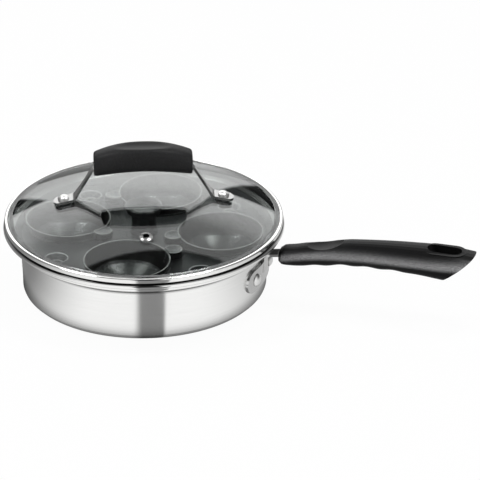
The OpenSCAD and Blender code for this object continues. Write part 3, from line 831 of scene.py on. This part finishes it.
class Tray:
    """The cups and the knob that stand on the tray."""

    def __init__(self, size: TraySize, pan: PanSize, cups: int = 4) -> None:
        """Works out the tray's height in the pan, and the cups' radius and place on the tray.

        Args:
            size: The tray's own sizes.
            pan: The sizes of the pan that it hangs in.
            cups: How many cups share the tray.
        """
        self.size = size
        slope = math.atan2(pan.flare_rise, pan.flare_w)
        flat_r = pan.wall_r - size.flat_edge
        spread = 2 * math.sin(math.pi / cups)
        self.top_z = (pan.wall_h - size.flat_edge * math.tan(slope)
                      + (pan.sheet + size.clear + size.sheet) / math.cos(slope))
        self.rim_r = ((flat_r - size.cup_edge) * spread - size.cup_gap) / (2 + spread)
        self.pitch = flat_r - size.cup_edge - self.rim_r

    def bowl(self) -> bpy.types.Object:
        """One cup's bowl with its seat ring and rounded lip, about its own axis."""
        s = self.size
        throat, deep, wall = self.rim_r - s.cup_stand * s.cup_lean, s.cup_depth, s.cup_wall
        straight = s.cup_stand + 3
        ring_z = deep - s.cup_stand
        low = [(0, 0), (s.cup_floor, 0), (throat - 4, deep * 0.3),
               (self.rim_r - straight * s.cup_lean, deep - straight)]
        outer = rounded([*low, (throat, ring_z)], [0, 7, 7, 7, 0], 10)
        inner = offset(rounded([*low, (self.rim_r, deep)], [0, 7, 7, 7, 0], 10), wall)
        inner[0, 0] = 0
        inner = inner[inner[:, 1] < deep - 0.8]
        ring_top = ring_z + s.ring_h
        ring = rounded([(throat, ring_z), (throat + s.ring_w, ring_z), (throat + s.ring_w, ring_top),
                        (throat + s.ring_h * s.cup_lean, ring_top), (self.rim_r - 0.2, deep - 0.9)],
                       [0, 0.3, 0.5, 0.6, 0], 5)
        lip = arc((self.rim_r - wall / 2 - 0.1, deep - 0.7), 0.7, 0, 180, 10)
        return lathe("bowl", np.vstack([outer, ring[1:], lip, inner[::-1]]), 144, sharp=48)

    def tab(self) -> bpy.types.Object:
        """A cup's thumb tab: a short barrel with a dished top, trimmed to the cup's wall."""
        s = self.size
        low = s.cup_depth + s.tab_lift - s.tab_h
        dish_r = (s.tab_r - 1) ** 2 / (2 * s.tab_dish) + s.tab_dish / 2
        r = np.linspace(s.tab_r - 1, 0, 10)
        dish = np.stack([r, low + s.tab_h - s.tab_dish + dish_r - np.sqrt(dish_r ** 2 - r ** 2)], axis=1)
        side = rounded([(0, low), (s.tab_r, low), (s.tab_r, low + s.tab_h), dish[0]], [0, 0.8, 0.5, 0], 6)
        made = place(lathe("tab", np.vstack([side, dish[1:]]), 64), 0, (self.rim_r + s.tab_out, 0, 0))
        flat = np.empty(len(made.data.vertices) * 3)
        made.data.vertices.foreach_get("co", flat)
        point = flat.reshape(-1, 3)
        reach = np.hypot(point[:, 0], point[:, 1])
        wall = (self.rim_r - s.cup_wall * 0.6 - (s.cup_depth - point[:, 2] / MM) * s.cup_lean) * MM
        point[:, :2] *= (np.maximum(reach, wall) / reach)[:, None]
        made.data.vertices.foreach_set("co", flat)
        return made

    def zones(self, cup: bpy.types.Object, turn: float) -> None:
        """Marks a cup's faces: 0 for its coating, 1 for its lips, painted pale as a highlight, and 2 for its
        outer walls, rougher and painted darker as shade.

        Args:
            cup: The cup, still about its own axis.
            turn: The tab's bearing in degrees.
        """
        s = self.size
        faces = cup.data.polygons
        middle = np.empty(len(faces) * 3)
        facing = np.empty(len(faces) * 3)
        faces.foreach_get("center", middle)
        faces.foreach_get("normal", facing)
        x, y, z = middle.reshape(-1, 3).T / MM
        nx, ny, nz = facing.reshape(-1, 3).T
        out = self.rim_r + s.tab_out
        from_tab = np.hypot(x - out * math.cos(math.radians(turn)), y - out * math.sin(math.radians(turn)))
        # The lips and the tabs' top edges take a pale finish, a painted highlight.
        from_lip = abs(np.hypot(x, y) - self.rim_r + s.cup_wall / 2)
        lip = (z > s.cup_depth - 0.35) & (from_lip < s.cup_wall * 0.5)
        lip |= (z > s.cup_depth + s.tab_lift - 0.4) & (from_tab > s.tab_r - 1.1)
        outwards = nx * x + ny * y > 0
        wall = (abs(nz) < 0.5) & (outwards | (from_tab > s.tab_r - 0.3))
        faces.foreach_set("material_index", np.where(lip, 1, np.where(wall, 2, 0)).astype(np.int32))

    def cup(self, name: str, bearing: float, tab_bearing: float) -> bpy.types.Object:
        """A whole cup in its place on the tray.

        Args:
            name: The object's name.
            bearing: Where the cup stands on the tray, in degrees.
            tab_bearing: Where its tab points on the tray, in degrees.

        Returns:
            The cup with its tab.
        """
        s = self.size
        turn = tab_bearing - bearing
        whole = join(name, [self.bowl(), place(self.tab(), turn)])
        whole.data.shade_smooth()
        whole.data.set_sharp_from_angle(angle=math.radians(48))
        self.zones(whole, turn)
        return place(whole, s.turn + bearing, (self.pitch, 0, self.top_z + s.cup_stand - s.cup_depth))

    def knob(self) -> bpy.types.Object:
        """The lifting knob with its dished head."""
        s = self.size
        waist, floor = s.knob_h - s.knob_head, s.knob_h - s.knob_dish
        side = rounded([(0, 0), (s.knob_post + 1, 0), (s.knob_post, 2.5), (s.knob_post - 0.4, waist - 2),
                        (s.knob_top - 1.4, waist + 1), (s.knob_top, s.knob_h - 1.2),
                        (s.knob_top - 0.7, s.knob_h), (s.knob_top - 1.9, s.knob_h - 0.6),
                        (s.knob_floor, floor), (0, floor)],
                       [0, 0.5, 4, 2.5, 1.6, 1.2, 0.7, 1.2, 3.4, 0], 8)
        return place(lathe("knob_moulding", side, 96), 0, (0, 0, self.top_z))


# Scene


@dataclass(frozen=True)
class Lamp:
    """A soft area lamp that shines at the pan."""

    name: str
    place: tuple[float, float, float]
    width: float
    power: float
    mirrored: bool = False


@dataclass(frozen=True)
class Panels:
    """The pale panels that the pan mirrors. All edges are in degrees.

    The bearing is 0 straight behind the pan, 180 at the camera and positive to the right. The panel behind
    has an arched top, a quadratic in the bearing with its highest power first, and a level sill. Between the
    two bearings of its column it reaches down to the table. Past a bearing and below a height lie two dim
    wings.
    """

    arch: tuple[float, float, float] = (-0.00198, -0.0981, 58.91)
    sill: float = 17.2
    column: tuple[float, float] = (-16.5, 9.0)
    wing: tuple[float, float] = (19.5, 14.0)
    overhead: tuple[float, float] = (74.0, 78.0)
    gap: float = 176.0

    def behind(self, g: Graph, bearing: Wire, height: Wire) -> Wire:
        """Level of the half behind the pan.

        Args:
            g: The world's node graph.
            bearing: Bearing of the direction looked in.
            height: Its height over the table.

        Returns:
            The level, where 1 is white.
        """
        curve, lean, crown = self.arch
        left, right = self.column
        wing_bearing, wing_top = self.wing
        under_arch = (height - (bearing * (bearing * curve + lean) + crown)).step(-0.4, 0.4, 1, 0)
        column = (bearing - left).step(-0.5, 0.5) * (bearing - right).step(-0.5, 0.5, 1, 0)
        window = g.math("MAXIMUM", column, (height - self.sill).step(-0.5, 0.5))
        low_glow = height.step(-12.0, -4.0, 0.78, 1.0) * height.step(-2.0, 22.0, 0.5, 1.0)
        glow = low_glow * height.step(33.0, 44.0, 1.0, 0.55) * 1.7
        wing = (abs(bearing) - wing_bearing).step(-0.5, 0.5) * (height - wing_top).step(-0.5, 0.5, 1, 0)
        overhead = height.step(*self.overhead, 0.0, 1.2)
        return g.math("MAXIMUM", window * under_arch * glow, wing * 0.3) + overhead + 0.03

    def before(self, g: Graph, bearing: Wire, height: Wire) -> Wire:
        """Level of the half before the pan, with the dark gap that the camera looks through.

        Args:
            g: The world's node graph.
            bearing: Bearing of the direction looked in.
            height: Its height over the table.

        Returns:
            The level, where 1 is white.
        """
        from_gap = g.math("MINIMUM", abs(bearing - self.gap), abs(bearing + (360.0 - self.gap)))
        fade = (180.0 - abs(bearing)).step(35.0, 105.0, 1.0, 0.15)
        return fade * height.step(34.0, 48.0, 1.0, 0.35) * from_gap.step(9.0, 14.0, 0.03, 1)


class Studio:
    """Floor, lamps, camera and surroundings.

    The camera stands at `distance` from its target, along `back`. `right` and `away` are its axes on the
    table. The edges of the streak are two straight lines on the table, each through two points in
    millimetres.
    """

    target = Vector((0.0697, 0.0200, 0.0359))
    back = Vector((0.2458, -0.8573, 0.4524))
    distance = 2.274
    right = (0.96126, 0.27564, 0.0)
    away = (-0.27564, 0.96126, 0.0)
    streak = (((22.3, -89.5), (147, -676)), ((41.9, -82.2), (411, -555)))
    lamps = (
        Lamp("lamp_top_left", (-0.75, -0.11, 1.55), 0.5, 7.0, mirrored=True),
        Lamp("lamp_top_right", (0.45, 0.23, 1.55), 0.5, 7.0, mirrored=True),
        Lamp("lamp_left", (-1.5, -1.1, 1.2), 1.2, 9.0),
        Lamp("lamp_right", (1.7, -0.9, 1.1), 1.2, 7.0),
    )

    def camera(self) -> None:
        """The camera at the photograph's viewing angle."""
        data = bpy.data.cameras.new("camera")
        data.lens = 225.0
        data.sensor_width = 36.0
        eye = bpy.data.objects.new("camera", data)
        bpy.context.scene.collection.objects.link(eye)
        eye.location = self.target + self.back.normalized() * self.distance
        eye.rotation_euler = (-self.back).to_track_quat("-Z", "Y").to_euler()
        bpy.context.scene.camera = eye

    def lights(self) -> None:
        """Soft lamps that light the surfaces; reflections come from the surroundings."""
        for lamp in self.lamps:
            data = bpy.data.lights.new(lamp.name, "AREA")
            data.shape = "DISK"
            data.size = lamp.width
            data.energy = lamp.power
            thing = bpy.data.objects.new(lamp.name, data)
            bpy.context.scene.collection.objects.link(thing)
            thing.location = lamp.place
            towards_pan = Vector((0, 0, 0.05)) - Vector(lamp.place)
            thing.rotation_euler = towards_pan.to_track_quat("-Z", "Y").to_euler()
            thing.visible_glossy = lamp.mirrored

    def surroundings(self) -> None:
        """White to the camera; to the pan, pale soft panels with the dark gaps between them."""
        world = bpy.data.worlds.new("studio")
        bpy.context.scene.world = world
        g = Graph(world)
        look = g.node("ShaderNodeTexCoord", output="Generated")
        across = g.vector("DOT_PRODUCT", look, self.right, "Value")
        depth = g.vector("DOT_PRODUCT", look, self.away, "Value")
        rise = g.node("ShaderNodeSeparateXYZ", {0: look}, 2)
        bearing = g.math("DEGREES", g.math("ARCTAN2", across, depth))
        height = g.math("DEGREES", g.math("ARCSINE", rise))
        panels = Panels()
        share = abs(bearing).step(35.0, 55.0)
        level = (panels.behind(g, bearing, height) * (1.0 - share)
                 + panels.before(g, bearing, height) * share)
        camera, clear, shone, lit = (
            g.node("ShaderNodeLightPath", output=way)
            for way in ("Is Camera Ray", "Is Transmission Ray", "Glossy Depth", "Diffuse Depth"))
        straight = g.math("LESS_THAN", shone + lit, 0.5)
        seen = g.math("MAXIMUM", camera, clear * straight)
        strength = level * (1.0 - seen) + seen
        shine = g.node("ShaderNodeBackground", {"Color": (1, 1, 1, 1), "Strength": strength})
        g.surface(shine)

    def floor(self) -> None:
        """A plain white table that keeps the pan's soft shadow."""
        reach, spokes, below = 4200, 48, 0.05
        radii = np.linspace(0, reach, 8)[:, None]
        angle = np.linspace(0, 2 * math.pi, spokes, endpoint=False)
        level = np.full((len(radii), spokes), -below)
        rings = np.stack([radii * np.cos(angle), radii * np.sin(angle), level], axis=-1)
        table = grid_object("floor", rings, caps=False)
        if table.data.polygons[0].normal.z < 0:
            table.data.flip_normals()
        made = bpy.data.materials.new("floor")
        g = Graph(made)
        point, *_ = g.place()
        tone = g.blend(g.noise(point, 6, 2), (0.86, 0.86, 0.86, 1), (0.9, 0.9, 0.9, 1))
        matt = g.node("ShaderNodeBsdfDiffuse", {"Color": tone})
        camera, clear, shone = (
            g.node("ShaderNodeLightPath", output=way)
            for way in ("Is Camera Ray", "Is Transmission Ray", "Is Glossy Ray"))
        seen = g.math("MAXIMUM", g.math("MAXIMUM", camera, clear), shone) * 0.95
        # To glossy rays the table glows with a painted reflection, darker in the streak and round the pan's
        # foot.
        strength = 1.0 - shone * (1.0 - self.reflected(g))
        glow = g.node("ShaderNodeEmission", {"Color": (1, 1, 1, 1), "Strength": strength})
        g.surface(g.node("ShaderNodeMixShader", {0: seen, 1: matt, 2: glow}))
        table.data.materials.append(made)

    def reflected(self, g: Graph) -> Wire:
        """How bright each spot of the table glows in the steel, a painted reflection: paler in front, with
        one soft dark streak and painted shade round the pan's foot.

        Args:
            g: The table's node graph.

        Returns:
            The level, from 0 to 1.
        """
        _, x, y, _ = g.place()
        across = x * self.right[0] + y * self.right[1]
        near = x * self.away[0] * -1.0 + y * self.away[1] * -1.0
        bearing = g.math("DEGREES", g.math("ARCTAN2", across, near))
        sides = bearing.step(-92.0, -28.0, 0.2, 1.0) * bearing.step(30.0, 88.0, 1.0, 0.62)
        edges = []
        for (near_x, near_y), (far_x, far_y) in self.streak:
            run = math.hypot(far_x - near_x, far_y - near_y)
            side_x = (far_y - near_y) / run
            side_y = (near_x - far_x) / run
            edges.append(x * side_x + y * side_y - (near_x * side_x + near_y * side_y) * MM)
        dark = edges[0].step(-0.005, 0.005, 1, 0) * edges[1].step(-0.001, 0.003)
        # Painted shade: the glow dims towards the pan's foot.
        foot = from_axis(g, x, y).step(0.0925, 0.108, 0.2, 1.0)
        return sides * foot * (1.0 - dark * 0.78)

    def build(self) -> None:
        """Puts everything round the pan in place."""
        self.camera()
        self.lights()
        self.surroundings()
        self.floor()
        bpy.context.scene.view_settings.view_transform = "Standard"


class Poacher:
    """The whole object: new pieces in place of some nodes, and a finish for each piece."""

    finishes = {
        # These two steels are painted dark as shade in the gap at the rim and under the lid.
        "satin_steel": Steel("satin_steel", colour=(0.9, 0.9, 0.89), grain=Grain.TURNED, anisotropy=0.6,
                             shaded_seam=(52.45, 0.75), bright_above=46.0, shade_within=102.0),
        "band_steel": Steel("band_steel", colour=(0.86, 0.86, 0.85), rough=0.11,
                            shaded_seam=(52.45, 0.75), shade_within=102.2),
        "screw_steel": Steel("screw_steel", colour=(0.88, 0.88, 0.87), rough=0.3),
        "bail_steel": Steel("bail_steel", colour=(0.42, 0.42, 0.415), rough=0.16),
        # The vent's bore is painted black as shade.
        "vent_steel": Steel("vent_steel", colour=(0.33, 0.33, 0.325), rough=0.27, bore=(20.4, -58.2, 2.6)),
        "polished_steel": Steel("polished_steel", colour=(0.84, 0.84, 0.83), rough=0.15),
        # The bracket's neck is painted dark as shade.
        "bracket_steel": Steel("bracket_steel", colour=(0.62, 0.62, 0.615), rough=0.17, shade_from=99.0),
        "black_phenolic": Phenolic("black_phenolic", colour=(0.02, 0.02, 0.0205)),
        "knob_phenolic": Phenolic("knob_phenolic", rough=0.14, grain=4e-6, ior=1.6),
        # The handle's crease gets a painted sheen as a highlight.
        "handle_phenolic": Phenolic("handle_phenolic", colour=(0.005, 0.005, 0.0052),
                                    crease=(8.97, -55.29, 117.13, -33.34)),
        # The rings are painted highlights round the tray's vent funnels.
        "nonstick_coating": Coating("nonstick_coating", rings=(54.45, 8.4, 4.2)),
        "cup_coating": Coating("cup_coating", colour=(0.014, 0.0145, 0.015), rough=0.27, ior=1.5),
        # Painted shade: a rougher, darker copy of the coating for the cups' outer walls.
        "rough_shaded_wall": Coating("rough_shaded_wall", colour=SHADE_BLACK, speck=(0.02, 0.02, 0.02), rough=0.42, ior=1.15),
        # Painted highlight: a pale coating on the cups' lips.
        "highlit_lip": Coating("highlit_lip", colour=(0.16, 0.16, 0.158), speck=(0.3, 0.3, 0.3), rough=0.25),
        "clear_glass": Glass("clear_glass"),
        "black_silicone": Silicone("black_silicone"),
    }
    own = {
        "lid_band": "band_steel",
        "lid_bail": "bail_steel",
        "bail_screws": "screw_steel",
        "pan_rivets": "screw_steel",
        "steam_vent": "vent_steel",
        "tray_knob": "knob_phenolic",
        "long_handle": "handle_phenolic",
        "egg_cup_right": "cup_coating",
        "egg_cup_back": "cup_coating",
        "egg_cup_left": "cup_coating",
        "egg_cup_front": "cup_coating",
    }
    bevels = {"handle_bracket": 0.35, "lid_bail": 0.6, "tang_nut": 0.2, "poacher_tray": 0.25}
    tabs = {"right": (0, 206), "back": (90, 205), "left": (180, 329), "front": (270, 393)}

    def __init__(self, frame: dict) -> None:
        """Makes every finish as a material.

        Args:
            frame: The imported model, as loaded.
        """
        self.frame = frame
        self.slots = {part["node"]: part["material_slot"] for part in frame["record"]["subparts"]}
        self.materials = {name: finish.material() for name, finish in self.finishes.items()}
        self.new: list[tuple[bpy.types.Object, str, str]] = []

    def build(self) -> None:
        """Sweeps the new pieces; each stands for one node and rides on its body."""
        pan = PanSize()
        lid = Lid(LidSize(), pan)
        tray = Tray(TraySize(), pan)
        self.new = [(Pan(pan).build(), "pan_body", "pan"), (lid.glass(), "lid_glass", "lid"),
                    (lid.band(), "lid_band", "lid"), (tray.knob(), "tray_knob", "tray")]
        self.new += [(tray.cup(f"poaching_cup_{side}", *bearings), f"egg_cup_{side}", f"cup_{side}")
                     for side, bearings in self.tabs.items()]
        for thing, node, body in self.new:
            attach(thing, body)
            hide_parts(node)
        LOG.info("swept %d pieces", len(self.new))

    def finish_of(self, node: str) -> bpy.types.Material:
        """The material of one node."""
        return self.materials[self.own.get(node, self.slots[node])]

    def dress(self) -> None:
        """Gives each piece its finish, and the pressed pieces their softened edges."""
        swept = {node for _, node, _ in self.new}
        for thing, node, _ in self.new:
            thing.data.materials.append(self.finish_of(node))
            if node.startswith("egg_cup"):
                thing.data.materials.append(self.materials["highlit_lip"])
                thing.data.materials.append(self.materials["rough_shaded_wall"])
        for node, thing in self.frame["nodes"].items():
            if node in swept:
                continue
            thing.data.materials.clear()
            thing.data.materials.append(self.finish_of(node))
            if node in self.bevels:
                bevel = thing.modifiers.new("edge", "BEVEL")
                bevel.width = self.bevels[node] * MM
                bevel.segments = 2
                bevel.limit_method = "ANGLE"
                bevel.angle_limit = math.radians(50)
                bevel.harden_normals = True
        self.soften(self.frame["nodes"]["lid_grip"])

    def soften(self, thing: bpy.types.Object) -> None:
        """Rounds every edge of a moulded piece, as its mould does.

        Args:
            thing: The piece, which keeps its own mesh under the two modifiers.
        """
        skin = thing.modifiers.new("skin", "REMESH")
        skin.mode = "VOXEL"
        skin.voxel_size = 0.7 * MM
        skin.use_smooth_shade = True
        ease = thing.modifiers.new("ease", "SMOOTH")
        ease.factor = 0.5
        ease.iterations = 40


def main() -> None:
    """Builds the scene."""
    logging.basicConfig(level=logging.INFO)
    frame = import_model()
    poacher = Poacher(frame)
    poacher.build()
    poacher.dress()
    Studio().build()
    bpy.context.view_layer.update()


if __name__ == "__main__":
    main()
